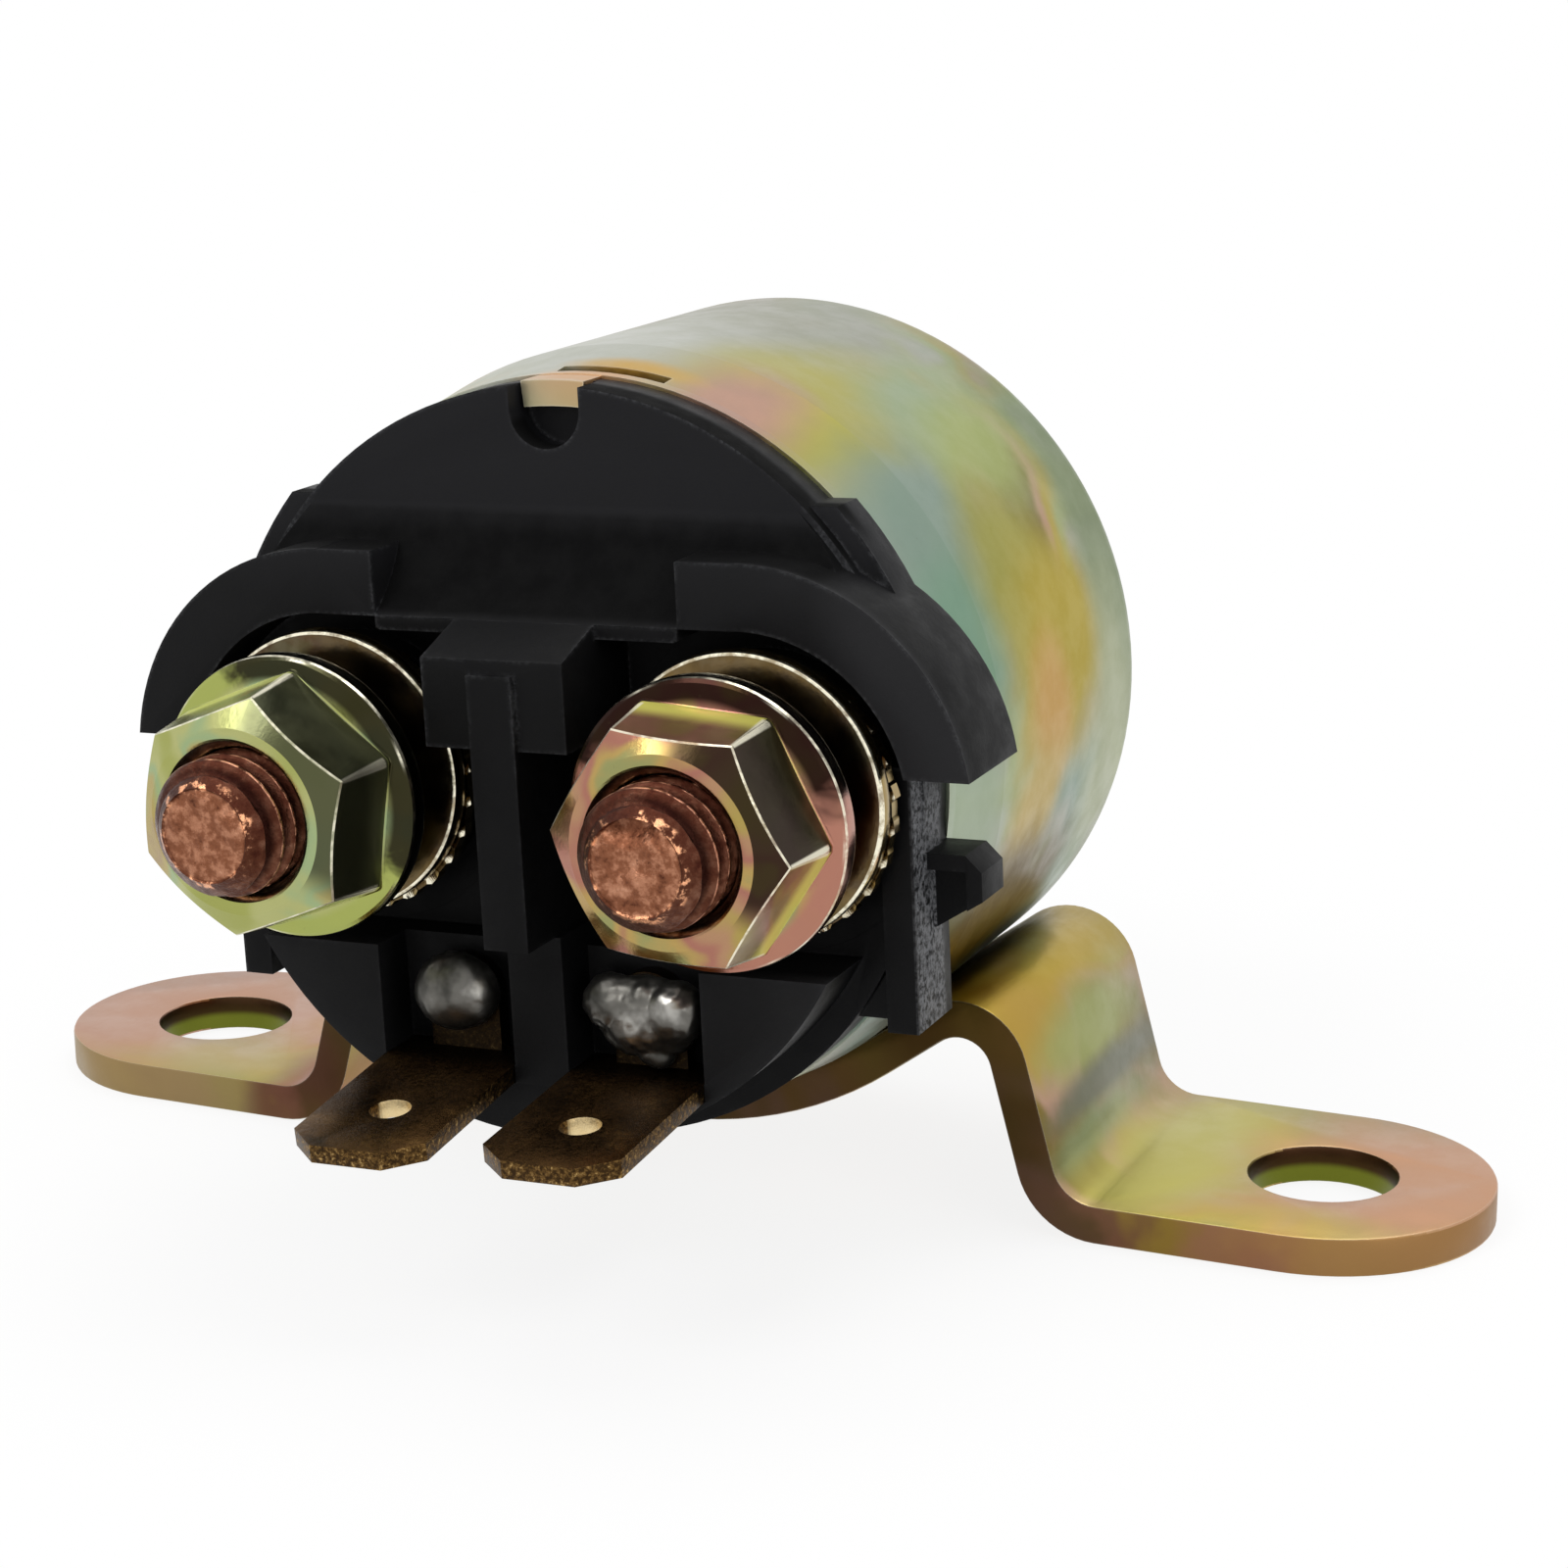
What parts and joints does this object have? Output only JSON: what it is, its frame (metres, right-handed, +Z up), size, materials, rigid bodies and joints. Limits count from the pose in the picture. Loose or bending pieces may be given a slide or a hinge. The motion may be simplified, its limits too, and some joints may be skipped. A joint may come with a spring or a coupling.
{
  "type": "starter solenoid relay",
  "caption": "Round metal-cased starter solenoid relay on a two-ear strap bracket, with studs, flange nuts and spade terminals.",
  "frame": {"origin": "midway between the two bracket holes, on the plane that the ears' undersides share", "axes": "+Z up from the mounting plane through the can's axis, +Y along the can towards its closed end, +X towards the right ear seen from the terminals"},
  "size_m": [0.0742, 0.0396, 0.0394],
  "materials": {
    "plated_can": "iridescent yellow-passivated zinc plate on drawn steel, satin",
    "plated_bracket": "iridescent yellow-passivated zinc plate on pressed strip, satin",
    "black_phenolic": "black moulded phenolic, satin skin with worn edges",
    "sealing_gasket": "matt sealing sheet",
    "stud_copper": "dull copper with sheared thread crests",
    "plated_washers": "yellow-passivated zinc plate",
    "plated_nut_left": "yellow-green passivated zinc plate",
    "plated_nut_right": "pink-gold passivated zinc plate",
    "blade_brass": "tarnished brass with bright sheared edges",
    "solder": "dull solder",
    "nylon": "natural moulded nylon",
    "magnet_wire": "enamelled copper wire",
    "coil_tape": "yellow polyester tape",
    "sleeving": "plain insulating sleeving",
    "bare_steel": "turned low-carbon steel",
    "tube_brass": "drawn brass",
    "buffer_rubber": "matt rubber",
    "spring_steel": "drawn spring wire",
    "contact_copper": "plain copper, lightly burnished",
    "bush_phenolic": "brown moulded phenolic"
  },
  "bodies": {
    "housing": {"can": "plated_can", "mounting_bracket": "plated_bracket", "terminal_cap": "black_phenolic", "cap_gasket": "sealing_gasket", "stud_left": "stud_copper", "stud_right": "stud_copper", "lock_washer_left": "plated_washers", "lock_washer_right": "plated_washers", "plain_washer_left": "plated_washers", "plain_washer_right": "plated_washers", "flange_nut_left": "plated_nut_left", "flange_nut_right": "plated_nut_right", "spade_terminal_left": "blade_brass", "spade_terminal_right": "blade_brass", "solder_joint_left": "solder", "solder_joint_right": "solder", "coil_bobbin": "nylon", "coil_winding": "magnet_wire", "coil_wrap": "coil_tape", "coil_lead_left": "magnet_wire", "coil_lead_right": "magnet_wire", "lead_sleeves": "sleeving", "flux_plate": "bare_steel", "fixed_core": "bare_steel", "guide_tube": "tube_brass", "buffer_pad": "buffer_rubber", "return_spring": "spring_steel"},
    "plunger_set": {"plunger": "bare_steel", "push_rod": "bare_steel", "spring_collar": "bare_steel", "retaining_clip": "spring_steel", "contact_spring": "spring_steel"},
    "contact_bridge": {"contact_disc": "contact_copper", "contact_bush": "bush_phenolic"}
  },
  "joints": [
    {"name": "plunger_slide", "type": "slide", "parent": "housing", "child": "plunger_set", "axis": [0, -1, 0], "range_m": [0, 0.00295], "stiffness_N_per_m": 700, "springref_m": -0.004, "deforming": ["return_spring"]},
    {"name": "contact_slide", "type": "slide", "parent": "housing", "child": "contact_bridge", "axis": [0, -1, 0], "range_m": [0, 0.00245], "deforming": ["contact_spring"]}
  ],
  "couplings": [
    {"joint": "contact_slide", "follows": "plunger_slide", "ratio": 0.83}
  ]
}
